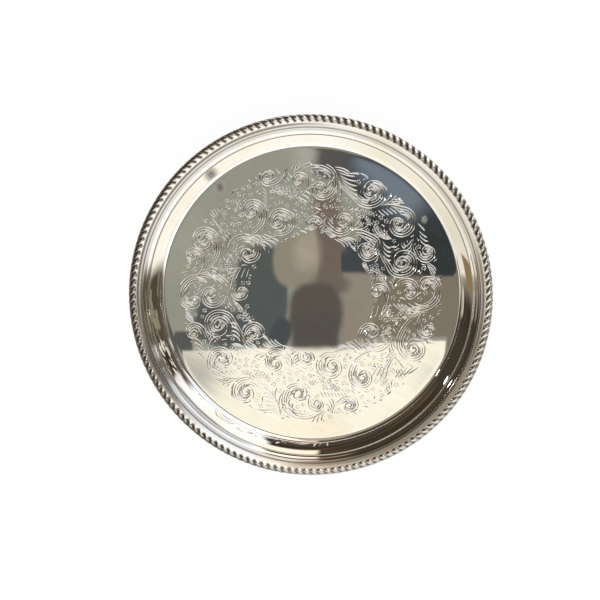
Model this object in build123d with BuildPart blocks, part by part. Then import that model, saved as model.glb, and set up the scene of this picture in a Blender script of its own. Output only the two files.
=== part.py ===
from build123d import *
import os
from math import cos, pi, radians, sin, sqrt

# A round plated tray: a pressed dish with a gadrooned mount soldered over its flange.
# Millimetres, +Z up. The origin is the middle of the underside, on which the tray stands.

# Dish, from the middle outwards. Each run is horizontal and each rise vertical.
sheet = 1.1                   # thickness of the dish
floor_radius = 126.6          # flat floor, up to where it turns up into the side
foot_bend_radius = 4.0        # inside radius of the turn at the foot of the side
foot_bend_turn = 55.0         # degrees that the foot turns before the side's long curve begins
side_run = 9.0                # floor edge to the ledge
side_rise = 15.9
ledge_width = 0.5             # sharp little ledge at the head of the side
lower_moulding_run = 2.6      # first of the shoulder's two soft mouldings
lower_moulding_rise = 2.2
upper_moulding_run = 2.9
upper_moulding_rise = 1.9
moulding_swell = 0.35         # how far each moulding bulges from its chord

# Border, a struck mount that covers the flange. Its back is hollow and filled with solder.
bead_width = 3.8              # plain bead inside the gadroons
bead_wall_height = 0.6        # upright inner edge of the mount
bead_swell = 0.7              # crown of the bead above its edges
gadroon_width = 7.0
gadroon_sink = 0.6            # centre of the half-round, below the top of the flange
gadroon_count = 154
gadroon_slant = 33.0          # degrees from the radius; going outwards the gadroons lean counter-clockwise
gadroon_crest_width = 1.9     # land left between two grooves
groove_depth = 1.0
groove_clearance = 0.3        # how far the groove's cutter stands out of the metal
groove_start_angle = -60.0    # where the cutter enters, degrees from level on the outer side
groove_turn = 205.0           # how far it rolls over the half-round, to end above the bead
mount_wall = 0.5              # metal between the floor of a groove and the solder
web_wall = 0.35               # metal between the crevice beside the bead and the solder
core_facet_angle = 60.0       # slope line of the solder under the gadroons, degrees up its half-round
lap_turn = 35.0               # degrees that the mount turns under, past its widest place
lap_thickness = 0.8
lap_cover = 1.2               # how far the lap reaches in under the flange

# Places that follow from the sizes above.
floor_top = sheet
side_top_radius = floor_radius + side_run
ledge_height = floor_top + side_rise
ledge_radius = side_top_radius + ledge_width
crease_radius = ledge_radius + lower_moulding_run
crease_height = ledge_height + lower_moulding_rise
mount_inner_radius = crease_radius + upper_moulding_run
flange_top = crease_height + upper_moulding_rise
flange_bottom = flange_top - sheet
gadroon_radius = gadroon_width / 2
gadroon_ring_radius = mount_inner_radius + bead_width + gadroon_radius
gadroon_centre_height = flange_top - gadroon_sink
core_half_width = gadroon_radius - groove_depth - mount_wall
flange_radius = gadroon_ring_radius + core_half_width
overall_radius = gadroon_ring_radius + gadroon_radius
overall_height = gadroon_centre_height + gadroon_radius


def half_chord(radius, height):
    """Half the width of a circle at a height above its centre."""
    return sqrt(radius**2 - height**2)


# Dish: one sheet of even thickness, turned about Z.
with BuildPart() as plate_body:
    with BuildSketch(Plane.XZ):
        with BuildLine():
            floor_line = Line((0, floor_top), (floor_radius, floor_top))
            foot = JernArc(floor_line @ 1, (1, 0), foot_bend_radius, foot_bend_turn)
            side = TangentArc(foot @ 1, (side_top_radius, ledge_height), tangent=foot % 1)
            ledge = Line(side @ 1, (ledge_radius, ledge_height))
            lower_moulding = SagittaArc(ledge @ 1, (crease_radius, crease_height), moulding_swell)
            upper_moulding = SagittaArc(lower_moulding @ 1, (mount_inner_radius, flange_top), moulding_swell)
            flange = Line(upper_moulding @ 1, (flange_radius, flange_top))
            offset(amount=sheet, side=Side.RIGHT)
        make_face()
    revolve(axis=Axis.Z)
plate_body.part.label = "plate_body"

# Solder behind the mount: one flat-sided ring, with a low swell under the bead and a high one under the gadroons.
crevice_height = flange_top + bead_wall_height
crevice_radius = gadroon_ring_radius - half_chord(gadroon_radius, crevice_height - gadroon_centre_height)
solder_inner_radius = mount_inner_radius + mount_wall
neck_height = crevice_height - web_wall
under_bead_height = crevice_height + bead_swell - mount_wall
under_bead_slope = under_bead_height - flange_top
core_top_half_width = core_half_width * cos(radians(core_facet_angle))
core_top = gadroon_centre_height + core_half_width * sin(radians(core_facet_angle))
neck_end = gadroon_ring_radius - half_chord(core_half_width, neck_height - gadroon_centre_height)
core_edge = gadroon_ring_radius + half_chord(core_half_width, gadroon_sink)

with BuildPart() as border_solder_core:
    with BuildSketch(Plane.XZ):
        with BuildLine():
            Polyline(
                (solder_inner_radius, flange_top),
                (solder_inner_radius + under_bead_slope, under_bead_height),
                (crevice_radius - under_bead_slope, under_bead_height),
                (crevice_radius, neck_height),
                (neck_end, neck_height),
                (gadroon_ring_radius - core_top_half_width, core_top),
                (gadroon_ring_radius + core_top_half_width, core_top),
                (core_edge, flange_top),
                close=True,
            )
        make_face()
    revolve(axis=Axis.Z)
border_solder_core.part.label = "border_solder_core"

# A groove is a V that rolls round the half-round in an upright plane that leans across the ring. There the half-round is
# stretched to an ellipse, so the groove follows the circle that meets the ellipse at its crown and at both sides.
slant = radians(gadroon_slant)
leaning_half_width = gadroon_radius / cos(slant)
roll_drop = (leaning_half_width**2 - gadroon_radius**2) / (2 * gadroon_radius)
roll_radius = gadroon_radius + roll_drop
roll_centre = (gadroon_ring_radius, 0, gadroon_centre_height - roll_drop)
roll_plane = Plane(origin=roll_centre, x_dir=(cos(slant), sin(slant), 0), z_dir=(sin(slant), -cos(slant), 0))
groove_start = radians(groove_start_angle)
entry_direction = roll_plane.x_dir * cos(groove_start) + roll_plane.y_dir * sin(groove_start)
entry_plane = Plane(origin=roll_centre, x_dir=entry_direction, z_dir=entry_direction.cross(roll_plane.z_dir))
groove_spacing = 2 * pi * gadroon_ring_radius / gadroon_count * cos(slant)
groove_half_width = (groove_spacing - gadroon_crest_width) / 2
mouth_half_width = groove_half_width * (groove_depth + groove_clearance) / groove_depth

with BuildPart() as groove:
    with BuildSketch(entry_plane):
        with BuildLine():
            Polyline(
                (roll_radius - groove_depth, 0),
                (roll_radius + groove_clearance, -mouth_half_width),
                (roll_radius + groove_clearance, mouth_half_width),
                close=True,
            )
        make_face()
    revolve(axis=Axis(roll_centre, roll_plane.z_dir), revolution_arc=groove_turn)

# Mount: a bead and a half-round that laps round the edge of the flange, hollow for the solder and grooved all round.
lap_inner_radius = flange_radius - lap_cover

with BuildPart() as gadroon_border:
    with BuildSketch(Plane.XZ):
        with BuildLine():
            inner_wall = Line((mount_inner_radius, flange_top), (mount_inner_radius, crevice_height))
            bead = SagittaArc(inner_wall @ 1, (crevice_radius, crevice_height), bead_swell)
            crown = (gadroon_ring_radius, overall_height)
            ThreePointArc(bead @ 1, crown, (overall_radius, gadroon_centre_height))
            turn = CenterArc((gadroon_ring_radius, gadroon_centre_height), gadroon_radius, 0, -lap_turn)
            Polyline(
                turn @ 1,
                (lap_inner_radius, flange_bottom - lap_thickness),
                (lap_inner_radius, flange_bottom),
                (flange_radius, flange_bottom),
                (flange_radius, flange_top),
                inner_wall @ 0,
            )
        make_face()
    revolve(axis=Axis.Z)
    add(border_solder_core.part, mode=Mode.SUBTRACT)
    with PolarLocations(0, gadroon_count):
        add(groove.part, clean=False, mode=Mode.SUBTRACT)
gadroon_border.part.label = "gadroon_border"

os.makedirs("parts", exist_ok=True)
export_step(plate_body.part, "parts/plate_body.step")
export_step(gadroon_border.part, "parts/gadroon_border.step")
export_step(border_solder_core.part, "parts/border_solder_core.step")
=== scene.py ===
import bpy
import bmesh
import random
from math import atan2, cos, dist, hypot, pi, radians, sin, sqrt, tan
from mathutils import Matrix, Vector
from mathutils.geometry import delaunay_2d_cdt


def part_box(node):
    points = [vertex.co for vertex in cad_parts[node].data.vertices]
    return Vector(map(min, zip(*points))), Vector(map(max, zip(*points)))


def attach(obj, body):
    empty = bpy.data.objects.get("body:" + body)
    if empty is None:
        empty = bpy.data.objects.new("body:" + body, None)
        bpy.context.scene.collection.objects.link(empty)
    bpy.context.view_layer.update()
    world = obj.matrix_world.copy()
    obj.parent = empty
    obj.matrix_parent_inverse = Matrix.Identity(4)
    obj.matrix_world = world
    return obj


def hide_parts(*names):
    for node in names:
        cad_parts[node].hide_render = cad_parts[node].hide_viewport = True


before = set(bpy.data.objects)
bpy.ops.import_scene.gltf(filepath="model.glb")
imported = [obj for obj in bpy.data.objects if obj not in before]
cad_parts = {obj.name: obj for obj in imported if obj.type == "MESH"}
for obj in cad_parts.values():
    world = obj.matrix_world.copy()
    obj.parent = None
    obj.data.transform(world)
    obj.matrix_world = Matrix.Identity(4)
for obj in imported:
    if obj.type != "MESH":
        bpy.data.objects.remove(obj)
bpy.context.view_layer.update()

mm = 0.001

# Places read from the frame, in millimetres as the profiles below are
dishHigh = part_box("plate_body")[1] / mm
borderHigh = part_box("gadroon_border")[1] / mm
print("frame read: %.1f mm across, %.1f mm high" % (2 * borderHigh.x, borderHigh.z))


# Shader building: sockets that can be added and multiplied, and one way to make any node

class Sock:
    def __init__(self, shade, output):
        self.shade = shade
        self.output = output

    def math(self, operation, other=None, flip=False):
        terms = [self] if other is None else [other, self] if flip else [self, other]
        return self.shade.node("Math", {"operation": operation}, dict(enumerate(terms)))[0]

    def size(self): return self.math("ABSOLUTE")
    def __add__(self, other): return self.math("ADD", other)
    def __radd__(self, other): return self.math("ADD", other)
    def __sub__(self, other): return self.math("SUBTRACT", other)
    def __rsub__(self, other): return self.math("SUBTRACT", other, flip=True)
    def __mul__(self, other): return self.math("MULTIPLY", other)
    def __rmul__(self, other): return self.math("MULTIPLY", other)
    def __truediv__(self, other): return self.math("DIVIDE", other)
    def __pow__(self, other): return self.math("POWER", other)


class Shade:
    def __init__(self, name, world=False):
        self.made = (bpy.data.worlds if world else bpy.data.materials).new(name)
        self.made.use_nodes = True
        self.tree = self.made.node_tree
        self.tree.nodes.clear()

    def node(self, kind, settings=None, sockets=None):
        made = self.tree.nodes.new("ShaderNode" + kind)
        for key, value in (settings or {}).items():
            setattr(made, key, value)
        for key, value in (sockets or {}).items():
            if isinstance(value, Sock):
                self.tree.links.new(value.output, made.inputs[key])
            else:
                socket = made.inputs[key]
                socket.default_value = (*value, 1) if socket.type == "RGBA" else value
        return [Sock(self, output) for output in made.outputs]

    def place(self):
        return self.node("TexCoord")[3]  # Object coordinates

    def noise(self, vector, scale, detail=3.0, rough=0.5):
        sockets = {"Vector": vector, "Scale": scale, "Detail": detail, "Roughness": rough}
        return self.node("TexNoise", None, sockets)[0]

    def step(self, value, low, high, top=1.0):
        sockets = {"Value": value, "From Min": low, "From Max": high, "To Min": 0.0, "To Max": top}
        settings = {"interpolation_type": "SMOOTHSTEP"}
        return self.node("MapRange", settings, sockets)[0]

    def band(self, value, middle, half):
        return 1 - self.step((value - middle).size(), 0.0, half)

    def within(self, distance, half, soft):
        # 1 up to a distance of half, with a soft edge
        return self.step(distance, half + soft / 2, half - soft / 2)

    def mix(self, factor, first, second):
        settings = {"data_type": "RGBA"}
        return self.node("Mix", settings, {0: factor, 6: first, 7: second})[2]

    def length(self, x, y):
        joined = self.joined(x, y)
        return self.node("VectorMath", {"operation": "LENGTH"}, {0: joined})[1]

    def joined(self, x, y, z=0.0):
        return self.node("CombineXYZ", None, {0: x, 1: y, 2: z})[0]

    def parts(self, vector):
        return self.node("SeparateXYZ", None, {0: vector})

    def metal(self, colour, metallic, rough, height, strength, depth):
        bump = self.node("Bump", None, {"Strength": strength, "Distance": depth, "Height": height})
        shader = self.node("BsdfPrincipled", None, {
            "Base Color": colour, "Metallic": metallic, "Roughness": rough, "Normal": bump[0]})
        return self.finish(shader[0])

    def finish(self, shader, kind="OutputMaterial"):
        self.node(kind, None, {0: shader})
        return self.made


# Profiles: points are (radius, height) in millimetres

def bearing(a, b):
    return atan2(b[1] - a[1], b[0] - a[0])


def arc(centre, radius, start, end, steps):
    turn = [start + (end - start) * i / steps for i in range(1, steps + 1)]
    return [(centre[0] + radius * cos(a), centre[1] + radius * sin(a)) for a in turn]


def arcFrom(start, end, centre, radius, steps):
    return arc(centre, radius, bearing(centre, start), bearing(centre, end), steps)


def swelling(start, end, swell, steps):
    # arc from start to end whose middle stands off its chord, to the left of the way
    across, up = end[0] - start[0], end[1] - start[1]
    chord = hypot(across, up)
    radius = (chord * chord / 4 + swell * swell) / (2 * swell)
    sink = radius - swell
    middle = ((start[0] + end[0]) / 2, (start[1] + end[1]) / 2)
    centre = (middle[0] + up / chord * sink, middle[1] - across / chord * sink)
    return arcFrom(start, end, centre, radius, steps)


def tangentArc(start, heading, end, steps):
    # arc that leaves start along the heading and reaches end
    across, up = end[0] - start[0], end[1] - start[1]
    left = (-sin(heading), cos(heading))
    radius = (across * across + up * up) / (2 * (across * left[0] + up * left[1]))
    centre = (start[0] + left[0] * radius, start[1] + left[1] * radius)
    return arcFrom(start, end, centre, radius, steps)


def pushed(points, distance):
    # the same line, set off to its right by a distance
    out = []
    for i, here in enumerate(points):
        before, after = points[max(i - 1, 0)], points[min(i + 1, len(points) - 1)]
        across, up = after[0] - before[0], after[1] - before[1]
        length = hypot(across, up)
        out.append((here[0] + up / length * distance, here[1] - across / length * distance))
    return out


def turned(mesh, points, segments):
    # rings of faces from a profile turned about Z, closed by a pole at its end
    rings = []
    for radius, height in points:
        ring = []
        for i in range(segments):
            a = 2 * pi * i / segments
            ring.append(mesh.verts.new((radius * cos(a) * mm, radius * sin(a) * mm, height * mm)))
        rings.append(ring)
    for low, high in zip(rings, rings[1:]):
        for i in range(segments):
            j = (i + 1) % segments
            mesh.faces.new((low[i], low[j], high[j], high[i]))
    pole = mesh.verts.new((0, 0, points[-1][1] * mm))
    for i in range(segments):
        mesh.faces.new((rings[-1][i], rings[-1][(i + 1) % segments], pole))


def newPiece(name, mesh):
    piece = bpy.data.objects.new(name, mesh)
    bpy.context.scene.collection.objects.link(piece)
    return piece


# Dish: floor, side, ledge, two mouldings and flange, with its underside

dish = {
    "sheet": 1.1,
    "floorRadius": 125.3,
    "footBend": 4.4,
    "footTurn": radians(55),
    "sideTop": (135.6, 17.0),
    "ledgeRadius": 136.1,
    "crease": (138.7, 19.2),
    "mountInner": 141.6,
    "mouldingSwell": 0.26,
    "mountCover": 0.2,  # how far the underside's last bend lies past mountInner
    "chasedOut": 114.0,  # the floor is one cut sheet inside this radius
    "underRings": (60, 20),  # radii of rings in the flat underside
    "segments": 320,
    "joinWithin": 0.004,
    "sharpFrom": radians(30),
}


def dishProfiles(d):
    floorTop = d["sheet"]
    flangeTop = dishHigh.z
    bendCentre = (d["floorRadius"], floorTop + d["footBend"])
    foot = arc(bendCentre, d["footBend"], -pi / 2, -pi / 2 + d["footTurn"], 10)
    side = tangentArc(foot[-1], d["footTurn"], d["sideTop"], 18)
    ledge = (d["ledgeRadius"], d["sideTop"][1])
    lower = swelling(ledge, d["crease"], d["mouldingSwell"], 8)
    upper = swelling(d["crease"], (d["mountInner"], flangeTop), d["mouldingSwell"], 8)
    flange = [(d["mountInner"] + 3, flangeTop), (dishHigh.x, flangeTop)]
    wall = [(d["floorRadius"], floorTop)] + foot + side
    lip = [ledge] + lower + upper
    under = pushed(wall, d["sheet"])[:-1] + pushed(lip, d["sheet"])
    under[0] = (d["floorRadius"], 0.0)
    under[-1] = (d["mountInner"] + d["mountCover"], flangeTop - d["sheet"])
    top = [(d["floorRadius"] - 4, floorTop)] + wall + lip + flange
    middle = [(r, 0) for r in d["underRings"]]
    return top, [(dishHigh.x, flangeTop - d["sheet"])] + under[::-1] + middle


# Chasing: scrolls and leaves cut in the floor; places in millimetres on the floor, angles in
# degrees from +X

# Scrolls: eye of the scroll, eye of its fellow across the dish, way it winds, angle at which it
# starts, then its radius every 45 degrees from there to the eye
scrolls = [
    ((57.5, 3), (-59, 2.5), 1, 270, (22, 11.5, 9.5, 8, 6.8, 6.2, 5.5, 4.8, 4.2, 3.4, 2.8, 2.2)),
    ((84.5, 3), (-86, 0.5), -1, 180, (14, 13, 11, 8.8, 7, 6.5, 6.3, 5.6, 4.6, 3.6, 3, 2.4)),
    ((98, 8.5), (-100, -4.5), 1, 210,
     (29, 23.5, 18.5, 13.5, 10.5, 7.6, 6.8, 5.4, 4.5, 3.6, 3, 2.4)),
    ((78.5, 28), (-79.4, -26), 1, 135,
     (30, 16.5, 14.5, 13, 12.5, 11.5, 11, 10, 9, 7, 5, 4, 3.6, 3, 2.4)),
    ((98.5, 37), (-100.5, -33), 1, 135, (16, 10.5, 9.6, 9, 8, 6.5, 5.2, 4.6, 4.2, 3.6, 3, 2.4)),
    ((74.5, 60), (-75.4, -55.5), -1, 135,
     (22, 15.8, 16, 14, 12.3, 10, 8.6, 7.4, 6.4, 5.4, 4.6, 4, 3.4, 2.6)),
    ((48.5, 39), (-48.2, -33.3), -1, 135,
     (23, 14.5, 12.8, 10.5, 10, 9.8, 9, 8.4, 6.4, 5, 4.6, 4.2, 3.4, 2.6)),
    ((51.5, 87.5), (-56.3, -85), 1, 145,
     (36, 18.5, 14.6, 13.4, 13, 12, 10.5, 8.6, 7.1, 6.1, 5.7, 5.2, 4.2, 3.4, 2.8, 2.3)),
    ((28.5, 63.5), (-31.2, -59.8), 1, 165,
     (14.5, 15, 13.6, 11.5, 8.5, 6.8, 6.2, 6, 5.8, 5.2, 4.6, 4, 3.2, 2.5)),
    ((3, 60.5), (-3.5, -53.7), 1, 300, (9.5, 8.2, 7.4, 7, 6.8, 6.4, 5.8, 5, 4.2, 3.4, 2.8, 2.2)),
    ((8.5, 90), (-10.4, -85.8), -1, 150,
     (26, 23, 20.5, 15.5, 12, 9.3, 7.8, 6.8, 6.2, 6, 5.6, 4.8, 4, 3.3, 2.6)),
    ((-9, 98), (5.2, -95.3), 1, 300, (11, 8, 7, 6.3, 5.7, 5.2, 4.8, 4.2, 3.6, 3, 2.4)),
    ((-35, 101), (33, -96), -1, 28, (17, 11, 8.5, 8, 7.8, 7, 6, 5, 4.2, 3.4, 2.6)),
    ((-27.5, 63), (19, -61.5), 1, 215,
     (26, 13, 13.6, 14.6, 13.2, 11, 8.8, 7.4, 6.4, 5.8, 5.6, 5, 4, 3, 2.3)),
    ((-49, 72), (44.5, -71), 1, 245, (25, 17, 13, 11.3, 10, 9, 8, 7, 6.2, 5, 4.2, 3.6, 3, 2.4)),
    ((-90, 47.5), (87.5, -46), 1, 249,
     (33.7, 21.5, 15, 12.2, 11, 10.6, 10.2, 9.4, 8.6, 7.2, 5.6, 4.4, 3.6, 3, 2.4)),
    ((-53, 35), (52, -31.5), -1, 170,
     (18, 18.5, 16.5, 13, 10.3, 8.2, 6.8, 6.2, 6, 5.4, 4.4, 3.4, 2.6)),
    ((-100, 34), (99.7, -30.3), 1, 280, (17, 11, 8.6, 7, 6.4, 6.2, 5.6, 4.8, 4, 3.2, 2.6)),
]

# Sprays of leaf strokes: first and last root, how many, then first and last heading, length and
# turn, and the width; "once" where the other half of the dish has no such spray
sprays = [
    ((24, 104), (30, 91), 6, (-22, -62), (15, 15), (22, 50), 0.95),
    ((21, 108.5), (22, 106.5), 2, (-6, -14), (14, 12), (-40, -20), 1.1),
    ((31, 102.3), (42, 103.2), 2, (12, -18), (11, 9), (-30, -45), 1.35),
    ((50, 94), (54.5, 97.5), 3, (-8, -12), (12, 19), (-62, -42), 1.2),
    ((67.5, 77), (68.5, 81), 3, (8, 4), (9, 14), (-15, -50), 1.1),
    ((57, 72.5), (70, 74.5), 5, (-50, -30), (8, 8), (25, -20), 1.15),
    ((75, 73), (79, 71), 2, (-25, -40), (9, 7), (-40, -30), 1.0),
    ((61, 46), (61.5, 34), 4, (-65, -60), (10, 9), (70, 75), 1.4),
    ((65, 39.5), (65, 39.5), 1, (25, 25), (9, 9), (-45, -45), 1.4),
    ((77, 45), (79, 45), 2, (-95, -95), (7, 4), (100, 90), 1.1),
    ((83.5, 45), (84, 47), 2, (-95, -80), (5, 5), (-80, -60), 1.0),
    ((90.5, 61), (90.5, 61), 1, (-45, -45), (9, 9), (-5, -5), 1.3),
    ((91.5, 54.5), (92, 48), 3, (-48, -62), (9, 11), (25, 75), 1.1),
    ((97, 29), (99, 24.5), 4, (-28, -62), (13, 12), (-35, -5), 1.1),
    ((53, 58.5), (62, 57), 4, (-62, -70), (17, 12), (50, 45), 1.0),
    ((38, 53.5), (42, 50.5), 3, (-5, -30), (20, 12), (-45, -25), 0.95),
    ((20, 48), (30, 49.5), 5, (-22, -5), (13, 10), (-45, -50), 1.15),
    ((31, 46), (33, 44), 2, (-50, -60), (10, 9), (25, 35), 1.2),
    ((2, 110.3), (7, 109.3), 3, (-12, -30), (15, 9), (-55, -60), 1.25),
    ((1, 100), (1, 100), 1, (-70, -70), (5, 5), (70, 70), 1.1),
    ((0, 106), (4, 106.5), 2, (-35, -40), (4, 5), (-20, -20), 1.0),
    ((-33, 94), (-13, 94.5), 8, (-62, -58), (5, 6), (10, -10), 1.1),
    ((-30, 89.5), (-14, 88.5), 6, (-60, -60), (4, 4), (0, 0), 1.1),
    ((-5, 89), (-9, 83), 3, (-25, -25), (7, 8), (-12, -15), 1.2),
    ((-41, 92), (-39, 76), 6, (-42, -50), (7, 7), (-18, -18), 1.15),
    ((-34.5, 107), (-30, 109), 2, (-30, -60), (7, 8), (-40, 35), 1.2),
    ((-22, 73), (-21, 68.5), 2, (-15, -28), (11, 7), (-40, -25), 1.2),
    ((-20, 61.5), (-20, 61.5), 1, (-38, -38), (6, 6), (-40, -40), 1.2),
    ((-14.5, 73.5), (-8, 71.5), 2, (-35, -40), (4.5, 3), (0, 0), 1.2),
    ((15.5, 66), (13.5, 60), 3, (-60, -55), (7, 9), (20, 40), 1.1),
    ((12, 55), (14.5, 57.5), 3, (-52, -58), (10, 12), (35, 55), 1.2),
    ((-9, 55), (-12, 53.5), 2, (0, -40), (7, 3.5), (-50, 0), 1.2),
    ((3, 75.5), (3, 75.5), 1, (-30, -30), (8, 8), (15, 15), 1.3),
    ((-84, 73), (-79, 75), 3, (-55, -62), (9, 10), (-15, -20), 1.15),
    ((-84, 66), (-80, 61), 3, (-40, -42), (8, 9), (-22, -20), 1.15),
    ((-83, 57), (-81, 51), 2, (-45, -60), (6, 5), (-10, -10), 1.1),
    ((-91, 65), (-91, 65), 1, (-50, -50), (5, 5), (30, 30), 1.1),
    ((-96, 41), (-97, 38), 2, (-40, -50), (5, 4), (-15, 0), 1.1),
    ((-105.5, 34), (-105, 30), 2, (-60, -45), (6, 4.5), (40, 20), 1.2),
    ((-88, 17.5), (-80, 19), 4, (-22, -32), (10, 13), (-40, -22), 1.15),
    ((-97, 15.5), (-92, 14), 3, (-40, -45), (5, 5), (-10, -10), 1.2),
    ((-58, 50), (-50, 51.5), 4, (-22, -30), (8, 14), (-30, -20), 1.1),
    ((-46, 49), (-40, 52.5), 4, (-45, -20), (11, 15), (10, -15), 0.95),
    ((-62, 24), (-52, 23), 4, (-130, -112), (15, 10), (35, 20), 1.0),
    ((-72, -1), (-67, -3), 2, (-60, -55), (6, 7), (-10, 20), 1.2),
    ((-66, -6), (-63.5, -6), 2, (-48, -50), (8, 8), (0, 0), 1.2),
    ((-109, -10), (-107, -16), 4, (-35, -48), (8, 7), (-5, 0), 1.15, "once"),
    ((-75, 34), (-70, 36), 2, (-60, -50), (5, 5), (10, 10), 1.1),
    ((77, -7), (87, -6), 3, (-42, -28), (13, 15), (30, 45), 1.15, "once"),
    ((66, -8.5), (68.5, -10), 2, (-75, -82), (12, 9), (-5, -10), 1.2, "once"),
    ((58, -35), (60, -32.5), 2, (15, 25), (12, 10), (0, -10), 1.1, "once"),
    ((81, -33), (84, -34), 2, (-100, -112), (9, 8), (25, 40), 1.3, "once"),
    ((70, -45), (73, -50), 4, (-118, -122), (12, 17), (-12, 5), 1.05, "once"),
    ((92, -62), (78, -62), 4, (-140, -120), (11, 12), (-15, -10), 1.05, "once"),
    ((68, -58), (58, -60), 4, (-112, -118), (14, 14), (12, -8), 1.0, "once"),
]

# Strips of small blossoms: from, to, half-width, how many
blossoms = [
    ((33, 73), (64, 50), 5, 30), ((47, 29), (62, 12), 4, 18), ((61, -20), (84, -17), 3, 16),
    ((-33, 91), (-4, 82), 4, 22), ((-72, 24), (-60, 44), 4, 15), ((-64, 58), (-58, 80), 4, 13),
    ((-36, -72), (-60, -66), 3.5, 13), ((-50, -22), (-62, -14), 3.5, 13),
    ((-84, 24), (-66, 22), 2.5, 10), ((24, -80), (-2, -72), 4, 20),
    ((66, -26), (62, -42), 3, 10), ((62, -60), (64, -84), 4, 15),
]

chasing = {
    "inner": 50.5,
    "outer": 111.5,
    "lineWidth": 0.85,
    "slope": 0.5,  # depth of a cut over half its width
    "deepest": 0.34,
    "step": 1.3,  # between points along a cut
    "sweepStep": 45.0,  # degrees between the radii listed for a scroll
    "eyeSweep": 230,  # degrees that a scroll winds on inside its eye
    "eyeShrink": 250,  # degrees there in which its radius sinks to a seventh
    "echoes": 3,  # lines that follow a scroll inside its own
    "echoGap": 2.15,
    "echoBreak": 11,  # how many points a broken line runs on for
    "leafFirst": 16.0,  # degrees of sweep before the first leaf stroke
    "leafSpacing": 27.0,  # and from one to the next
    "leafWidth": 1.35,
    "fillTries": 4000,
    "fillGap": 2.0,  # short strokes keep this far from their neighbours
    "fillReach": 8,  # and lie no farther from them than this
    "fillLength": (3.5, 6.5),
    "fillBend": (0.4, 1.2),
    "blossomSize": (1.7, 2.2),
    "blossomTries": 3000,
    "blossomGap": 2.8,
    "joinWithin": 0.004,
    "seed": 12,
    "scrolls": scrolls,
    "sprays": sprays,
    "blossoms": blossoms,
}


def spiral(c, row, place, turnedRound):
    # two functions of the sweep in degrees, for the point and the radius, and the whole sweep
    winding, start, radii = row[2], row[3] + (180 if turnedRound else 0), row[4]
    whole = c["sweepStep"] * (len(radii) - 1)

    def radiusAt(sweep):
        t = min(max(sweep / c["sweepStep"], 0), len(radii) - 1.0001)
        i = int(t)
        u = t - i
        a, b = radii[i], radii[i + 1]
        slopeA = (b - radii[i - 1]) / 2 if i else b - a
        slopeB = (radii[i + 2] - a) / 2 if i + 2 < len(radii) else b - a
        return (a * (1 + 2 * u) * (1 - u) ** 2 + b * u * u * (3 - 2 * u)
                + slopeA * u * (1 - u) ** 2 - slopeB * u * u * (1 - u))

    def at(sweep, inward=0.0):
        a = radians(start + winding * sweep)
        beyond = max(sweep - whole, 0.0) / c["eyeShrink"]
        r = max(radiusAt(sweep) * (1 - 0.85 * beyond) - inward, 0.3)
        return (place[0] + r * cos(a), place[1] + r * sin(a))
    return at, radiusAt, whole


def resampled(points, step):
    out = [points[0]]
    left = step
    for a, b in zip(points, points[1:]):
        span = dist(a, b)
        gone = 0.0
        while span - gone >= left:
            gone += left
            out.append((a[0] + (b[0] - a[0]) * gone / span, a[1] + (b[1] - a[1]) * gone / span))
            left = step
        left -= span - gone
    if dist(out[-1], points[-1]) > step * 0.4:
        out.append(points[-1])
    else:
        out[-1] = points[-1]
    return out


def curl(start, heading, length, turn, pieces=7, late=1.6):
    # a stroke that leaves along its heading and bends by a turn, most of it near the tip
    x, y = start
    points = [start]
    for i in range(pieces):
        a = heading + turn * ((i + 0.5) / pieces) ** late
        x += cos(a) * length / pieces
        y += sin(a) * length / pieces
        points.append((x, y))
    return points


def scrollCuts(c, row, place, turnedRound):
    at, radiusAt, whole = spiral(c, row, place, turnedRound)
    winding = row[2]
    size = radiusAt(min(225, whole / 3))

    def spare(sweep):
        # from the line to its own next turn
        return radiusAt(sweep) - (radiusAt(sweep + 360) if sweep + 360 < whole else 0.8)

    def heading(sweep):
        return bearing(at(sweep), at(sweep + 3))

    last = whole + c["eyeSweep"]
    count = int(last / 8)
    cuts = [([at(last * i / count) for i in range(count + 1)], c["lineWidth"], "scroll")]
    for j in range(1, c["echoes"] + 1):
        inward = c["echoGap"] * j
        run = []
        for s in range(int(6 + 15 * j), int(min(whole * 0.66, 350) - 26 * j), 7):
            if spare(s) < inward + 1.1:
                break
            run.append(at(s, inward))
        if j == 1:
            cuts.append((run, c["lineWidth"] * 1.2, "leaf"))
            continue
        pieces = max(round(len(run) / c["echoBreak"]), 1)  # the inner ones are broken into leaves
        for i in range(pieces):
            part = run[i * len(run) // pieces:(i + 1) * len(run) // pieces]
            if len(part) > 3:
                cuts.append((part, c["leafWidth"] * (0.95 - 0.1 * (i % 2)), "leaf"))
    # leaves that leave the sweep for the eye
    sweep = c["leafFirst"]
    while sweep < whole * 0.62:
        free = spare(sweep) - 1.2
        echoed = min(int(free / c["echoGap"]), c["echoes"]) * c["echoGap"]
        if free > 2.2 and sweep > 50:
            root = at(sweep, max(echoed - 1.0, 1.3))
            length = min(free * 1.1, size * 0.8) + 1.5
            leaf = curl(root, heading(sweep) + winding * 0.35, length, winding * 1.5)
            cuts.append((leaf, c["leafWidth"], "leaf"))
        sweep += c["leafSpacing"]
    # the root's spray, outside the stem
    for i in range(3 if size > 7 else 2):
        s = 4 + i * 10
        length = size * (1.0 - 0.16 * i) + 2
        bend = -winding * (1.0 + 0.15 * i)
        leaf = curl(at(s, -0.9), heading(s) - winding * 0.12, length, bend, late=1.3)
        cuts.append((leaf, c["leafWidth"] * 0.85, "leaf"))
    return cuts


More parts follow.
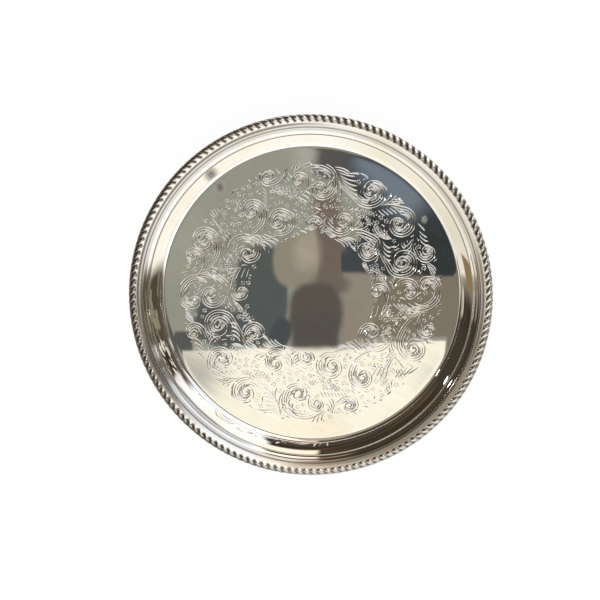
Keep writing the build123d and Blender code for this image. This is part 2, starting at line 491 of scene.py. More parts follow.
def sprayCuts(c, row, otherHalf):
    (x0, y0), (x1, y1), count, headings, lengths, turns, width = row[:7]
    if otherHalf:  # goes over with the scroll that it lies beside
        near, over = min(c["scrolls"], key=lambda r: dist(r[0], (x0, y0)))[:2]
    cuts = []
    for i in range(count):
        u = i / max(count - 1, 1)
        x, y = x0 + (x1 - x0) * u, y0 + (y1 - y0) * u
        heading = radians(headings[0] + (headings[1] - headings[0]) * u)
        if otherHalf:
            x, y, heading = near[0] + over[0] - x, near[1] + over[1] - y, heading + pi
        length = lengths[0] + (lengths[1] - lengths[0]) * u
        bend = radians(turns[0] + (turns[1] - turns[0]) * u)
        cuts.append((curl((x, y), heading, length, bend), width, "leaf"))
    return cuts


def blossomAt(x, y, size, rng):
    first = rng.uniform(0, 2 * pi)
    petals = rng.choice((4, 5, 5, 6))
    cuts = []
    for k in range(petals):
        a = first + 2 * pi * k / petals
        near = (x + 0.35 * size * cos(a), y + 0.35 * size * sin(a))
        cuts.append((curl(near, a + 0.3, 0.8 * size, 0.9, pieces=4), 0.5 * size, "petal"))
    return cuts


def blossomCuts(c, strip, rng):
    (x0, y0), (x1, y1), half, count = strip
    cuts = []
    across = Vector((y0 - y1, x1 - x0)).normalized()
    for i in range(count):
        u = (i + rng.uniform(0.2, 0.8)) / count
        off = rng.uniform(-half, half)
        x, y = x0 + (x1 - x0) * u + across.x * off, y0 + (y1 - y0) * u + across.y * off
        cuts += blossomAt(x, y, rng.uniform(*c["blossomSize"]), rng)
    return cuts


def widthAt(kind, width, u):
    # the width along a cut, at a share u of its length
    if kind == "scroll":  # boldest at the eye
        bold = 1 + 0.75 * min(max(u - 0.72, 0) / 0.2, 1)
        return width * min(1.0, u / 0.06 + 0.12, (1 - u) / 0.03 + 0.3) * bold
    if kind == "leaf":
        return width * (0.3 + 0.7 * min(1.0, u / 0.65)) * min(1.0, (1 - u) / 0.16 + 0.1)
    return width * (0.25 + 0.75 * min(1.0, u / 0.5)) * min(1.0, (1 - u) / 0.35 + 0.05)


def nearby(cells, size, x, y):
    # what a table of square cells holds in the nine round a place
    i, j = int(x // size), int(y // size)
    nine = [(i + di, j + dj) for di in (-1, 0, 1) for dj in (-1, 0, 1)]
    return [item for cell in nine for item in cells.get(cell, ())]


def fillCuts(c, cuts, rng):
    # short leaf strokes in whatever room is left, lying along their neighbours
    cell, cells = 3.0, {}

    def keep(points):
        for a, b in zip(points, points[1:]):
            place = (int(a[0] // cell), int(a[1] // cell))
            cells.setdefault(place, []).append((*a, bearing(a, b)))

    def nearest(x, y):
        best = (9.0, 0.0)
        for px, py, h in nearby(cells, cell, x, y):
            gap = hypot(px - x, py - y)
            if gap < best[0]:
                best = (gap, h)
        return best

    def anywhere(inside, outside):
        # a random place, evenly spread over the ring's area
        r = sqrt(rng.uniform((c["inner"] + inside) ** 2, (c["outer"] - outside) ** 2))
        a = rng.uniform(0, 2 * pi)
        return r * cos(a), r * sin(a)

    for points, *_ in cuts:
        keep(resampled(points, 1.0))
    fills = []
    for _ in range(c["blossomTries"]):
        x, y = anywhere(3, 4)
        if c["blossomGap"] < nearest(x, y)[0] < c["fillReach"]:
            made = blossomAt(x, y, rng.uniform(*c["blossomSize"]), rng)
            fills += made
            for points, *_ in made:
                keep(points)
    for _ in range(c["fillTries"]):
        x, y = anywhere(1.5, 1.5)
        gap, h = nearest(x, y)
        if not c["fillGap"] <= gap <= c["fillReach"]:
            continue
        points = curl((x, y), h + rng.uniform(-0.15, 0.15), rng.uniform(*c["fillLength"]),
                      rng.choice((-1, 1)) * rng.uniform(*c["fillBend"]))
        good = [points[0]]
        for p in points[1:]:
            if nearest(*p)[0] < 1.0 or not c["inner"] < hypot(*p) < c["outer"]:
                break
            good.append(p)
        if len(good) < 4:
            continue
        good = resampled(good, 1.0)
        if len(good) < 3:
            continue
        fills.append((good, c["leafWidth"] * rng.uniform(0.7, 1.0), "leaf"))
        keep(good)
    return fills


def allCuts(c):
    rng = random.Random(c["seed"])
    cuts = []
    for row in c["scrolls"]:
        cuts += scrollCuts(c, row, row[0], False)
        cuts += scrollCuts(c, row, row[1], True)
    for row in c["sprays"]:
        cuts += sprayCuts(c, row, False) + ([] if row[-1] == "once" else sprayCuts(c, row, True))
    for strip in c["blossoms"]:
        cuts += blossomCuts(c, strip, rng)
    trimmed = []
    for points, width, kind in cuts:
        run = []
        for p in points + [None]:
            if p and c["inner"] - 1.5 < hypot(*p) < c["outer"] + 0.8:
                run.append(p)
            else:
                if len(run) > 3:
                    trimmed.append((run, width, kind))
                run = []
    trimmed += fillCuts(c, trimmed, rng)
    return trimmed


def chasedFloor(c, d):
    # the cuts' edges and middles divide the floor; each point then sinks as deep as the cut over it
    verts, edges = [], []
    ring = d["segments"]
    for i in range(ring):
        a = 2 * pi * i / ring
        verts.append(Vector((d["chasedOut"] * cos(a), d["chasedOut"] * sin(a))))
        edges.append((i, (i + 1) % ring))
    cell, spans = 2, {}
    cuts = allCuts(c)
    for points, width, kind in cuts:
        long = sum(dist(a, b) for a, b in zip(points, points[1:]))
        points = resampled(points, min(c["step"], long / 3.2))
        total = len(points) - 1
        half = [widthAt(kind, width, i / total) / 2 for i in range(total + 1)]
        half[0] = half[-1] = 0.0
        rows = []
        for i, (x, y) in enumerate(points):
            before, after = points[max(i - 1, 0)], points[min(i + 1, total)]
            dx, dy = after[0] - before[0], after[1] - before[1]
            length = hypot(dx, dy) or 1.0
            nx, ny = -dy / length, dx / length
            if i in (0, total):
                verts.append(Vector((x, y)))
                rows.append((len(verts) - 1,) * 3)
            else:
                for off in (half[i], 0, -half[i]):
                    verts.append(Vector((x + nx * off, y + ny * off)))
                rows.append((len(verts) - 3, len(verts) - 2, len(verts) - 1))
        for low, high in zip(rows, rows[1:]):
            edges += [(a, b) for a, b in set(zip(low, high))]
        for a, b, wa, wb in zip(points, points[1:], half, half[1:]):
            span = (a[0], a[1], b[0] - a[0], b[1] - a[1], wa, wb)
            for cx in {int(a[0] // cell), int(b[0] // cell)}:
                for cy in {int(a[1] // cell), int(b[1] // cell)}:
                    spans.setdefault((cx, cy), []).append(span)
    out, _, faces, _, _, _ = delaunay_2d_cdt(verts, edges, [], 0, c["joinWithin"])

    def depthAt(x, y):
        deepest = 0.0
        for ax, ay, dx, dy, wa, wb in nearby(spans, cell, x, y):
            u = ((x - ax) * dx + (y - ay) * dy) / (dx * dx + dy * dy)
            u = 0.0 if u < 0 else 1.0 if u > 1 else u
            away = hypot(x - ax - dx * u, y - ay - dy * u)
            deepest = max(deepest, (wa + (wb - wa) * u - away) * c["slope"])
        return min(deepest, c["deepest"])

    mesh = bmesh.new()
    cut = mesh.verts.layers.float.new("cut")
    made = []
    for p in out:
        depth = depthAt(p.x, p.y) if hypot(p.x, p.y) < d["chasedOut"] - 0.5 else 0.0
        vertex = mesh.verts.new((p.x * mm, p.y * mm, (d["sheet"] - depth) * mm))
        vertex[cut] = depth / c["deepest"]
        made.append(vertex)
    for face in faces:
        mesh.faces.new([made[i] for i in face])
    print("floor chased: %d cuts, %d faces" % (len(cuts), len(mesh.faces)))
    return mesh


def dishMesh(d, c):
    mesh = chasedFloor(c, d)
    top, under = dishProfiles(d)
    turned(mesh, [(d["chasedOut"], d["sheet"])] + top + under, d["segments"])
    bmesh.ops.remove_doubles(mesh, verts=mesh.verts, dist=d["joinWithin"] * mm)
    bmesh.ops.recalc_face_normals(mesh, faces=mesh.faces)
    return mesh


plate = bpy.data.meshes.new("plateShell")
built = dishMesh(dish, chasing)
built.to_mesh(plate)
built.free()
plate.set_sharp_from_angle(angle=dish["sharpFrom"])
for face in plate.polygons:  # the chased floor keeps its flat facets
    middle = face.center / mm
    onTop = middle.z > dish["sheet"] - 0.4
    face.use_smooth = not (hypot(middle.x, middle.y) < dish["chasedOut"] and onTop)
plateShell = newPiece("plateShell", plate)
print("dish turned: %d faces" % len(plate.polygons))


# Border: a bead and slanted gadroons; one sector is cut and repeated round the ring

border = {
    "count": 154,
    "radius": 3.5,  # of the half-round
    "sink": 0.6,  # its centre below the flange's top
    "slant": radians(33),
    "depth": 1.05,  # of the hollow between two gadroons
    "pinch": 0.93,  # how nearly a gadroon's flank stands upright in the hollow
    "beadWall": 0.6,
    "beadRise": 1.2,  # the bead climbs towards the gadroons
    "beadSwell": 0.03,
    "beadEdge": (0.1, 0.15),  # its broken inner edge: across and down
    "fadeIn": radians(14),  # the hollows deepen over this turn beside the bead
    "fadeOut": (0.28, radians(38)),  # their share of the depth at the lap, and the turn up to it
    "hollowOuter": 145.4,  # the bead's hollow back ends here, beside the gadroons' own
    "hollowRise": 0.2,  # how far it goes up into the bead
    "neckDrop": 0.35,
    "coreTurn": radians(60),
    "lapTurn": radians(35),
    "lapThickness": 0.8,
    "lapCover": 1.2,
    "wallBehind": 0.5,
    "wallOver": 1.0,
    "dirtFade": 0.35,
    "acrossSteps": 10,
    "overSteps": 26,
    "joinWithin": 0.000004,  # m
    "sharpFrom": radians(42),
}


def borderSection(b):
    # closed loop of (radius, height, share of the hollow's depth), seen looking along the rim
    flangeTop = dishHigh.z
    flangeLow = flangeTop - dish["sheet"]
    ringRadius = borderHigh.x - b["radius"]
    centre = (ringRadius, flangeTop - b["sink"])
    creviceTop = flangeTop + b["beadWall"]
    rise = creviceTop + b["beadRise"] - centre[1]
    crevice = (ringRadius - sqrt(b["radius"] ** 2 - rise ** 2), creviceTop + b["beadRise"])
    inner = dish["mountInner"]
    across, down = b["beadEdge"]
    beadStart = (inner + across, creviceTop)
    loop = [(inner, flangeTop, 0), (inner, creviceTop - down, 0), (*beadStart, 0)]
    loop += [(r, z, 0) for r, z in swelling(beadStart, crevice, b["beadSwell"], 8)]
    first = pi - atan2(rise, ringRadius - crevice[0])
    last = -b["lapTurn"]
    for i in range(1, b["overSteps"] + 1):
        a = first + (last - first) * i / b["overSteps"]
        fade = min(1.0, (first - a) / b["fadeIn"], b["fadeOut"][0] + max(a, 0.0) / b["fadeOut"][1])
        loop.append((centre[0] + b["radius"] * cos(a), centre[1] + b["radius"] * sin(a), fade))
    lapInner = dishHigh.x - b["lapCover"]
    half = b["radius"] - b["wallOver"] - b["wallBehind"]
    loop += [(lapInner, flangeLow - b["lapThickness"], 0), (lapInner, flangeLow, 0)]
    loop += [(dishHigh.x, flangeLow, 0), (dishHigh.x, flangeTop, 0)]
    topHalf, coreTop = half * cos(b["coreTurn"]), centre[1] + half * sin(b["coreTurn"])
    loop += [(ringRadius + sqrt(half ** 2 - b["sink"] ** 2), flangeTop, 0)]
    loop += [(ringRadius + topHalf, coreTop, 0), (ringRadius - topHalf, coreTop, 0)]
    neck = creviceTop - b["neckDrop"]
    loop += [(ringRadius - sqrt(half ** 2 - (neck - centre[1]) ** 2), neck, 0)]
    loop += [(b["hollowOuter"], neck, 0)]
    under = creviceTop + b["hollowRise"]
    slope = under - flangeTop
    hollowInner = inner + b["wallBehind"]
    loop += [(b["hollowOuter"] - slope, under, 0), (hollowInner + slope, under, 0)]
    loop += [(hollowInner, flangeTop, 0)]
    return centre, loop


def sectorMesh(b):
    centre, loop = borderSection(b)
    pitch = 2 * pi / b["count"]
    mesh = bmesh.new()
    hollow = mesh.verts.layers.float.new("hollow")
    columns = []
    for step in range(b["acrossSteps"] + 1):
        share = step / b["acrossSteps"] * 2 - 1  # -1 to 1 across one gadroon
        share = sin(share * pi / 2)  # closer steps beside the hollows
        inset = (1 - sqrt(1 - (b["pinch"] * share) ** 2)) / (1 - sqrt(1 - b["pinch"] ** 2))
        column = []
        for radius, height, fade in loop:
            out, up = radius - centre[0], height - centre[1]
            keep = 1 - inset * fade * b["depth"] / b["radius"]
            lean = out * tan(b["slant"]) / centre[0]
            a = pitch * share / 2 + lean * (1 if fade else 0)
            r = centre[0] + out * (keep if fade else 1)
            z = centre[1] + up * (keep if fade else 1)
            vertex = mesh.verts.new((r * cos(a) * mm, r * sin(a) * mm, z * mm))
            vertex[hollow] = inset * fade ** b["dirtFade"]
            column.append(vertex)
        columns.append(column)
    for left, right in zip(columns, columns[1:]):
        for i in range(len(loop)):
            j = (i + 1) % len(loop)
            mesh.faces.new((left[i], left[j], right[j], right[i]))
    out = bpy.data.meshes.new("gadroonSector")
    mesh.normal_update()
    mesh.to_mesh(out)
    mesh.free()
    out.shade_smooth()
    return out


def ringTree(name, material):
    # repeats the object's own mesh round Z and joins the copies
    tree = bpy.data.node_groups.new(name, "GeometryNodeTree")
    for socket, kind in (("Geometry", "Geometry"), ("Copies", "Int"), ("Join within", "Float")):
        tree.interface.new_socket(socket, in_out="INPUT", socket_type="NodeSocket" + kind)
    tree.interface.new_socket("Geometry", in_out="OUTPUT", socket_type="NodeSocketGeometry")

    def add(kind, sources=None, operation=None):
        made = tree.nodes.new(kind)
        if operation:
            made.operation = operation
        for key, source in (sources or {}).items():
            if isinstance(source, bpy.types.NodeSocket):
                tree.links.new(source, made.inputs[key])
            else:
                made.inputs[key].default_value = source
        return made.outputs

    given = add("NodeGroupInput")
    points = add("GeometryNodePoints", {"Count": given["Copies"]})
    index = add("GeometryNodeInputIndex")
    share = add("ShaderNodeMath", {0: index[0], 1: given["Copies"]}, "DIVIDE")
    angle = add("ShaderNodeMath", {0: share[0], 1: 2 * pi}, "MULTIPLY")
    turn = add("ShaderNodeCombineXYZ", {"Z": angle[0]})
    copies = add("GeometryNodeInstanceOnPoints", {
        "Points": points[0], "Instance": given["Geometry"], "Rotation": turn[0]})
    real = add("GeometryNodeRealizeInstances", {0: copies[0]})
    joined = add("GeometryNodeMergeByDistance", {
        "Geometry": real[0], "Distance": given["Join within"]})
    painted = add("GeometryNodeSetMaterial", {"Geometry": joined[0], "Material": material})
    add("NodeGroupOutput", {0: painted[0]})
    return tree


def grown(piece, tree, values):
    # runs a geometry tree on a piece and keeps the result as its plain mesh
    modifier = piece.modifiers.new(tree.name, "NODES")
    modifier.node_group = tree
    for socket in tree.interface.items_tree:
        if socket.in_out == "INPUT" and socket.name in values:
            modifier[socket.identifier] = values[socket.name]
    piece.update_tag()
    depsgraph = bpy.context.evaluated_depsgraph_get()
    mesh = bpy.data.meshes.new_from_object(piece.evaluated_get(depsgraph))
    piece.modifiers.remove(modifier)
    old = piece.data
    piece.data = mesh
    mesh.name = piece.name
    bpy.data.meshes.remove(old)


# Finishes

wearAndShade = {
    "film": (0.018, 4.0, 0.6),  # a noise: scale per mm, detail, roughness
    "filmFrom": (0.42, 0.68, 0.6),  # where it starts and ends, and how strong it gets
    "filmRough": 0.02,
    "hair": (1.4, 2.0, 0.7),
    "hairFrom": (0.5, 0.8),
    "hairRough": 0.02,
    "ringRough": 0.25,
    "dirtPatches": (0.35, 3.0, 0.6),
    # cosines between which one side of the hollows is painted lighter
    "paintedLightFrom": (0.3, 0.9),
    "ragged": (0.25, 3.0, 0.6),
    "raggedBy": 1.6,  # mm
    "lessShadeTowards": radians(5),  # the brown painted shade reaches farther in on the side away from here
    "brownRough": 0.12,
    "deposit": (0.5, 4.0, 0.7),
    "depositBy": 3,  # mm
    "depositSquash": 0.8,
    "depositCore": 0.1,  # share of its size that is covered fully
    "depositRough": 0.3,
    "depositDull": 0.7,
    "dents": (0.03, 2.0),
    "dentStrength": 0.05,
    "dentDepth": 0.0002,
}


def silver(name, settings):
    s = Shade(name)
    place = s.place()
    x, y, _ = s.parts(place)
    inMm = s.node("VectorMath", {"operation": "SCALE"}, {0: place, "Scale": 1 / mm})[0]
    radius = s.length(x, y) / mm

    def towards(direction):
        return x * cos(direction) + y * sin(direction)

    film = s.noise(inMm, *wearAndShade["film"])
    hair = s.noise(inMm, *wearAndShade["hair"])
    colour = s.mix(s.step(film, *wearAndShade["filmFrom"]), settings["bright"], settings["yellowed"])
    rough = settings["roughness"] + wearAndShade["filmRough"] * film
    rough = rough + wearAndShade["hairRough"] * s.step(hair, *wearAndShade["hairFrom"])

    def covered(share, tint, duller):
        nonlocal colour, rough
        colour = s.mix(share, colour, settings[tint])
        rough = rough + share * duller

    # darker rings of the metal; those to one side are painted shade
    for line, half, strength, *side in settings["darkRings"]:
        ring = s.band(radius, line, half) * strength
        if side:  # painted shade, only towards one direction
            ring = ring * s.step(towards(side[0]) / (radius * mm), side[1], side[2])
        covered(ring, "grimeAndShade", wearAndShade["ringRough"])
    hollow = s.node("Attribute", {"attribute_name": settings["attribute"]})[2]
    patchy = (s.noise(inMm, *wearAndShade["dirtPatches"]) - 0.5) * settings["patchy"]
    dirt = s.step(hollow + patchy, *settings["dirtFrom"])
    if settings["paintedLightSide"]:  # painted light: the hollows less dark towards one side
        side, share = settings["paintedLightSide"]
        dirt = dirt * (1 - share * s.step(towards(side) / (radius * mm), *wearAndShade["paintedLightFrom"]))
    colour = s.mix(dirt * settings["dirt"], colour, settings["grimeAndShade"])
    rough = rough + dirt * settings["dirtRough"]
    low, high, outerDark = settings["outerEdge"]  # brown patina outside, towards the table, and painted shade there
    # the outer band is partly brown patina and partly painted shade, reaching farther in on one
    # side
    ragged = radius + (s.noise(inMm, *wearAndShade["ragged"]) - 0.5) * wearAndShade["raggedBy"]
    ragged = ragged - towards(wearAndShade["lessShadeTowards"]) / mm * settings["shadeOneSided"]
    covered(s.step(ragged, low, high, outerDark), "patinaAndShade", wearAndShade["brownRough"])
    metal = 1.0
    for spotX, spotY, size, strength in settings["deposits"]:
        apart = s.length(x / mm - spotX, (y / mm - spotY) * wearAndShade["depositSquash"])
        apart = apart + (s.noise(inMm, *wearAndShade["deposit"]) - 0.5) * wearAndShade["depositBy"]
        spot = s.step(apart, size, size * wearAndShade["depositCore"], strength)
        covered(spot, "deposit", wearAndShade["depositRough"])
        metal = metal - spot * wearAndShade["depositDull"]
    dents = s.noise(inMm, *wearAndShade["dents"])
    return s.metal(colour, metal, rough, dents, wearAndShade["dentStrength"], wearAndShade["dentDepth"])


# A dark ring: radius, half-width, strength; one to a side is painted shade and also has its
# direction, and the cosines between which it comes in. The rings all round darken the metal along
# the joints, ledge, crease and mouldings
dishSilver = silver("dishSilver", {
    "bright": (0.9, 0.875, 0.82), "yellowed": (0.86, 0.8, 0.69), "grimeAndShade": (0.15, 0.13, 0.09),
    "patinaAndShade": (0.2, 0.15, 0.12), "deposit": (0.085, 0.062, 0.045), "roughness": 0.012,
    # the last ring, to one side, is painted shade
    "darkRings": [
        (141.5, 0.7, 0.75), (135.85, 0.6, 0.85), (138.7, 0.5, 0.2), (140.1, 1.6, 0.44),
        (137.3, 1.5, 0.7, radians(227), 0.9, 0.97),
    ],
    "attribute": "cut", "patchy": 0.2, "dirtFrom": (0.05, 0.6), "dirt": 0.5, "dirtRough": 0.18,
    "paintedLightSide": None, "outerEdge": (146.0, 149.0, 0.4), "shadeOneSided": 0.0,
    "deposits": [(-76, 92, 7.5, 0.8), (96, 64, 3.8, 0.5)],
})
borderSilver = silver("borderSilver", {
    "bright": (0.9, 0.87, 0.81), "yellowed": (0.82, 0.75, 0.63), "grimeAndShade": (0.12, 0.092, 0.068),
    "patinaAndShade": (0.125, 0.092, 0.07), "roughness": 0.06,
    "darkRings": [
        # the rings to one side are painted shade
        (143.6, 2.2, 0.2), (141.8, 1.4, 0.75), (144.5, 1.9, 0.85, radians(140), 0.45, 0.78),
        (144.2, 2.1, 0.75, radians(358), 0.9, 0.99), (147.3, 2.2, 0.75, radians(50), 0.66, 0.92),
        (150.6, 2.6, 0.6, radians(292), 0.25, 0.75),
    ],
    "attribute": "hollow", "patchy": 0.25, "dirtFrom": (0.03, 0.34), "dirt": 0.84, "dirtRough": 0.3,
    # lightening of the hollows to one side is painted light, and the outer band's shift to one side
    # is painted shade
    "paintedLightSide": (radians(305), 0.45), "outerEdge": (151.0, 153.4, 0.92), "shadeOneSided": 0.028,
    "deposits": [],
})

solder = {
    "grain": 900.0,
    "dark": (0.42, 0.42, 0.41),
    "pale": (0.58, 0.57, 0.55),
    "roughness": 0.35,
    "grainRough": 0.2,
    "grainStrength": 0.3,
    "grainDepth": 0.0002,
}


def solderFinish(g):
    s = Shade("greySolder")
    grain = s.noise(s.place(), g["grain"])
    rough = g["roughness"] + g["grainRough"] * grain
    colour = s.mix(grain, g["dark"], g["pale"])
    return s.metal(colour, 1.0, rough, grain, g["grainStrength"], g["grainDepth"])


plate.materials.append(dishSilver)
gadroonRing = newPiece("gadroonRing", sectorMesh(border))
grown(gadroonRing, ringTree("gadroonsRoundRim", borderSilver),
      {"Copies": border["count"], "Join within": border["joinWithin"]})
gadroonRing.data.set_sharp_from_angle(angle=border["sharpFrom"])
print("border repeated: %d faces" % len(gadroonRing.data.polygons))

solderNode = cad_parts["border_solder_core"]
solderNode.data.materials.clear()
solderNode.data.materials.append(solderFinish(solder))

for piece, node, slot in ((plateShell, "plate_body", "plated_dish"),
                          (gadroonRing, "gadroon_border", "plated_border")):
    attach(piece, "root")
    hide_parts(node)
print("pieces in place")


# Stage: pale floor, one card overhead whose reflection lies on the dish's floor, the room, camera

# Patches of the card as they lie mirrored on the dish: middle, half-size, turn in degrees,
# softness in mm, colour, and whether it is round
cardPatches = [
    ((0, 124), (13, 24), 0, 20, (0.42, 0.43, 0.39)),
    ((-112, 52), (24, 40), 0, 26, (0.36, 0.37, 0.32)),
    ((109, 159), (100, 190), 39.7, 3, (0.04, 0.046, 0.048)),
    ((130, 42), (88, 26), 0, 4, (0.038, 0.045, 0.047)),
    ((92, 60), (36, 10), 0, 4, (0.045, 0.052, 0.056)),
    ((44, 31), (19, 16), 0, 3, (0.06, 0.069, 0.08)),
    ((70, 100), (36, 20), -46, 26, (0.18, 0.222, 0.28)),
    ((19, 119), (13, 20), -10, 12, (0.105, 0.103, 0.105)),
    ((16, 60), (11, 24), 6, 9, (0.2, 0.165, 0.145)),
    ((96, -10), (69, 26), 0, 1.2, (0.225, 0.198, 0.16)),
    ((-70, -30), (32, 17), -18, 7, (0.1, 0.108, 0.106)),
    ((0, -114.3), (190, 70), 2.5, 1.2, (1.08, 1.05, 0.92)),
    ((-112, -72), (30, 26), -20, 34, (0.56, 0.56, 0.51)),
    ((-4, -121), (34, 12), 0, 24, (1.1, 1.02, 0.86)),
    ((119, -72), (26, 14), 0, 28, (0.86, 0.86, 0.78)),
    ((-136, -40), (34, 8.5), 0, 1.2, (0.101, 0.108, 0.104)),
    ((40, -14), (13.5, 33), 0, 4, (0.3, 0.272, 0.23)),
    ((-42, 2), (22.5, 42), 0, 5, (0.098, 0.114, 0.118), "round"),
    ((-26, -34), (9, 15), -20, 5, (0.072, 0.084, 0.095), "round"),
    ((15.5, 34), (9.8, 26), 0, 3, (0.178, 0.143, 0.125)),
    ((-12.5, 29), (19.2, 23), 0, 4, (0.3, 0.277, 0.23), "round"),
    ((-3, 37), (10, 14), 0, 16, (0.42, 0.375, 0.3), "round"),
    ((18, 11), (15, 8.5), -12, 9, (0.175, 0.15, 0.128), "round"),
    ((4.5, -14), (23, 25), 0, 7, (0.112, 0.1, 0.09), "round"),
    ((4, -31), (20.5, 15.5), 0, 7, (0.102, 0.095, 0.09)),
]

stage = {
    "cameraDistance": 1.0,
    "cameraTilt": radians(8.9),  # off the upright
    "cameraTowards": radians(70),  # to the back, a little right
    "sensor": 36.0,
    "focal": 1196.5 / 600,  # in image widths
    "aimHeight": 20.5,  # of the rim, mm
    "aimRight": -8.03,  # from the middle of the rim to the middle of the image, mm
    "aimUp": -1.31,
    "floorReach": 3,
    "floorDrop": 0.0002,  # below the plate's underside, m
    "floorGlow": 0.88,
    "floorWhite": 1.06,
    "cloth": ((0.84, 0.84, 0.83), (0.88, 0.88, 0.87)),
    "clothScale": 40.0,
    "overhead": 1.6,  # height of the card, m
    "overheadReach": 131,  # how far over the dish it shows, mm
    "overheadSides": 72,
    "overheadBase": (0.325, 0.335, 0.292),
    "cloud": (0.03, 3.0, 0.6),
    "streakSlant": radians(-33),
    "streakScale": (0.02, 0.25),  # along and across
    "streaks": (1.0, 3.0, 0.6),
    "strength": (0.93, 0.14, 0.26),  # its base, the cloud's share, the streaks' share
    "roundness": 2.4,  # exponent of a round patch, 2 is an ellipse
    "patches": cardPatches,
}


def addCamera(g):
    tilt, towards = g["cameraTilt"], g["cameraTowards"]
    n = Vector((sin(tilt) * cos(towards), sin(tilt) * sin(towards), cos(tilt)))
    right = (Vector((1, 0, 0)) - n * n.x).normalized()
    up = n.cross(right)
    centre = Vector((0, 0, g["aimHeight"] * mm))
    aim = centre + right * g["aimRight"] * mm + up * g["aimUp"] * mm
    data = bpy.data.cameras.new("camera")
    data.sensor_width = g["sensor"]
    data.lens = g["sensor"] * g["focal"]
    camera = bpy.data.objects.new("camera", data)
    bpy.context.scene.collection.objects.link(camera)
    turn = Matrix((right, up, n)).transposed().to_4x4()
    camera.matrix_world = Matrix.Translation(aim + n * g["cameraDistance"]) @ turn
    bpy.context.scene.camera = camera
    return camera.matrix_world.translation.copy()


def card(name, corners, material, seenByCamera=False):
    mesh = bpy.data.meshes.new(name)
    mesh.from_pydata([tuple(c) for c in corners], [], [tuple(range(len(corners)))])
    mesh.materials.append(material)
    panel = newPiece(name, mesh)
    panel.visible_camera = seenByCamera


def overheadFinish(g, eye, k):
    # brings a point of the card back to its place on the dish, then lays the patches there
    s = Shade("overheadGlow")
    x, y, _ = s.parts(s.place())
    x = (x - eye.x * (1 - k)) / (k * mm)
    y = (y - eye.y * (1 - k)) / (k * mm)
    cloud = s.noise(s.joined(x, y), *g["cloud"])
    slant = g["streakSlant"]
    along, across = x * cos(slant) + y * sin(slant), y * cos(slant) - x * sin(slant)
    scaleAlong, scaleAcross = g["streakScale"]
    streaks = s.noise(s.joined(along * scaleAlong, across * scaleAcross), *g["streaks"])
    colour = g["overheadBase"]
    for (middleX, middleY), (halfX, halfY), turn, soft, patch, *form in g["patches"]:
        c, d = cos(radians(turn)), sin(radians(turn))
        along = (x - middleX) * c + (y - middleY) * d
        across = (y - middleY) * c - (x - middleX) * d
        if form:
            power = g["roundness"]
            share = (along / halfX).size() ** power + (across / halfY).size() ** power
            share = share ** (1 / power)
            shown = s.within(share, 1, 2 * (soft / (halfX + halfY)))
        else:
            shown = s.within(along.size(), halfX, soft) * s.within(across.size(), halfY, soft)
        colour = s.mix(shown, colour, patch)
    base, cloudShare, streakShare = g["strength"]
    strength = base + cloudShare * cloud + (streaks - 0.5) * streakShare
    return s.finish(s.node("Emission", None, {0: colour, 1: strength})[0])


def overheadCard(g, eye):
    # a mirror at the height of the dish's floor shows it in its place on the dish
    mirror = dish["sheet"] * mm
    k = (g["overhead"] - mirror + eye.z - mirror) / (eye.z - mirror)
    reach = g["overheadReach"] * mm * k
    middle = Vector((eye.x * (1 - k), eye.y * (1 - k), g["overhead"]))
    turns = [2 * pi * i / g["overheadSides"] for i in range(g["overheadSides"])]
    corners = [middle + Vector((reach * cos(a), reach * sin(a), 0)) for a in turns]
    card("overhead", corners, overheadFinish(g, eye, k))


def floorFinish(g):
    # white to the camera and to mirrors, matt cloth to all else
    s = Shade("paleFloor")
    path = s.node("LightPath")
    seen = path[0].math("MAXIMUM", path[3])
    cloth = s.mix(s.noise(s.place(), g["clothScale"]), *g["cloth"])
    matt = s.node("BsdfDiffuse", None, {"Color": cloth})[0]
    white = s.node("Emission", None, {0: (1, 1, 1), 1: g["floorWhite"]})[0]
    both = s.node("MixShader", None, {0: seen * g["floorGlow"], 1: matt, 2: white})
    return s.finish(both[0])


def floorCard(g):
    reach, low = g["floorReach"], -g["floorDrop"]
    corners = [(x * reach, y * reach, low) for x, y in ((-1, -1), (1, -1), (1, 1), (-1, 1))]
    card("floor", corners, floorFinish(g), seenByCamera=True)


overheadCard(stage, addCamera(stage))
floorCard(stage)


# The room round about, by direction: pale in front, a window behind on the right, dark elsewhere

# Its patches: middle and half-width round about in degrees, lowest and highest above the horizon,
# softness of both, colour
roomPatches = [
    (271, 75, -12, 95, 3, 3, (1.1, 1.08, 1.03)),
    (298, 46, -12, 95, 20, 3, (1.22, 1.24, 1.24)),
    (210, 13, -12, 90, 24, 20, (0.95, 0.92, 0.85)),
    (49, 25, 2, 95, 4, 5, (1.25, 1.3, 1.42)),
    (40, 12, 38, 46, 10, 7, (0.34, 0.36, 0.48)),
    (51, 26, 58, 60.5, 8, 2, (0.22, 0.2, 0.2)),
    (83, 13, 27, 92, 3, 4, (1.35, 1.24, 1.14)),
    (100, 11, 44, 84, 8, 10, (0.55, 0.4, 0.28)),
    (98, 26, 3, 17, 4, 4, (0.08, 0.066, 0.062)),
    (165, 13, 8, 45, 8, 16, (0.06, 0.052, 0.042)),
    (198, 6, 28, 52, 2, 3, (0.31, 0.225, 0.13)),
    (185, 5, 58, 76, 2, 4, (0.98, 0.93, 0.83)),
    (186, 5, 10, 18, 3, 3, (0.8, 0.74, 0.64)),
    (-4, 16, 16, 56, 8, 8, (0.095, 0.084, 0.068)),
    (6, 26, -6, 18, 8, 10, (0.115, 0.1, 0.078)),
    (142, 46, 58, 76, 8, 6, (0.37, 0.33, 0.28)),
    (-6, 21, 56, 71, 6, 8, (0.155, 0.132, 0.105)),
    (142, 50, 77, 95, 8, 6, (0.92, 0.87, 0.78)),
    (0, 30, 76, 95, 6, 6, (0.8, 0.76, 0.68)),
]

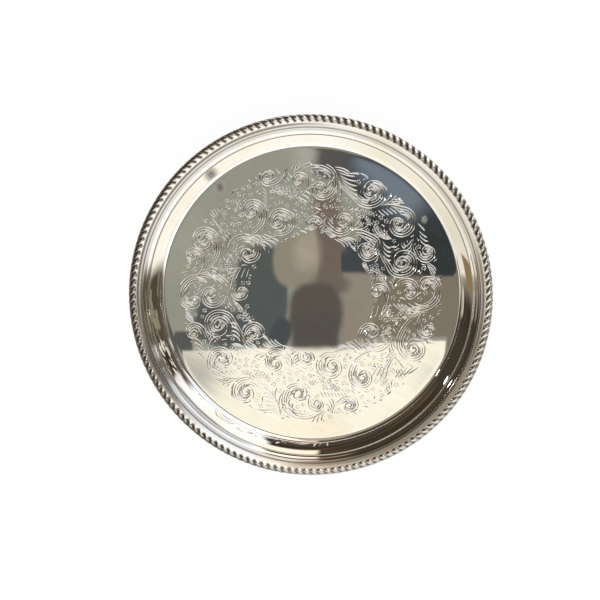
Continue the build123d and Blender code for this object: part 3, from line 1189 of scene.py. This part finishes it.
room = {
    "dark": (0.047, 0.038, 0.028),
    "streak": (0.2, 0.135, 0.085),
    "bandScale": (0.004, 0.11),  # round about and up, per degree
    "bands": (2.2, 4.0, 0.7),  # scale, detail, roughness
    "bandsFrom": (0.5, 0.64),
    "patches": roomPatches,
    # fine streaks at the right: middle and half-width round about, colour
    "fineStreaks": [(17, 10, (0.98, 0.97, 1.00)), (-8, 14, (0.34, 0.31, 0.255))],
    "fineScale": (0.05, 0.055, 0.03),  # round about, up, and how much they slant
    "fine": (2.2, 3.0, 0.6),
    "fineFrom": (0.525, 0.565),
    "fineSoft": 6,
    "fineFoot": (12, 20),
    "fineHead": (62, 54),
    # a small lamp: where round about and up, half-size, colour
    "lamp": (159, 40, 1.2, (15, 14.5, 13.5)),
    "lampTaller": 1,
    "lampSoft": 1,
}


def roomLight(g):
    s = Shade("room", world=True)
    x, y, z = s.parts(s.node("TexCoord")[0])
    around = y.math("ARCTAN2", x) * (180 / pi)
    high = z.math("ARCSINE") * (180 / pi)

    def offFrom(middle):
        sockets = {0: around - middle, 1: 180.0, 2: -180.0}
        return s.node("Math", {"operation": "WRAP"}, sockets)[0].size()

    bandRound, bandUp = g["bandScale"]
    bands = s.noise(s.joined(around * bandRound, 0.0, high * bandUp), *g["bands"])
    fineRound, fineUp, fineSlant = g["fineScale"]
    fine = s.joined(around * fineRound, 3.0, high * fineUp + around * fineSlant)
    fine = s.step(s.noise(fine, *g["fine"]), *g["fineFrom"])
    colour = s.mix(s.step(bands, *g["bandsFrom"]), g["dark"], g["streak"])
    for middle, half, low, top, softRound, softUp, patch in g["patches"]:
        shown = (s.within(offFrom(middle), half, softRound)
                 * s.step(high, low - softUp / 2, low + softUp / 2) * s.within(high, top, softUp))
        colour = s.mix(shown, colour, patch)
    for middle, half, pale in g["fineStreaks"]:
        shown = (s.within(offFrom(middle), half, g["fineSoft"])
                 * s.step(high, *g["fineFoot"]) * s.step(high, *g["fineHead"]))
        colour = s.mix(shown * fine, colour, pale)
    lampRound, lampHigh, size, lampColour = g["lamp"]
    lit = (s.within(offFrom(lampRound), size, g["lampSoft"])
           * s.within((high - lampHigh).size(), size + g["lampTaller"], g["lampSoft"]))
    colour = s.mix(lit, colour, lampColour)
    seen = s.node("LightPath")[0]
    plain = s.node("Background", None, {0: colour, 1: 1.0})[0]
    white = s.node("Background", None, {0: (1, 1, 1), 1: 1.0})[0]
    either = s.node("MixShader", None, {0: seen, 1: plain, 2: white})[0]
    return s.finish(either, "OutputWorld")


bpy.context.scene.world = roomLight(room)
bpy.context.scene.view_settings.view_transform = "Standard"
print("stage set")
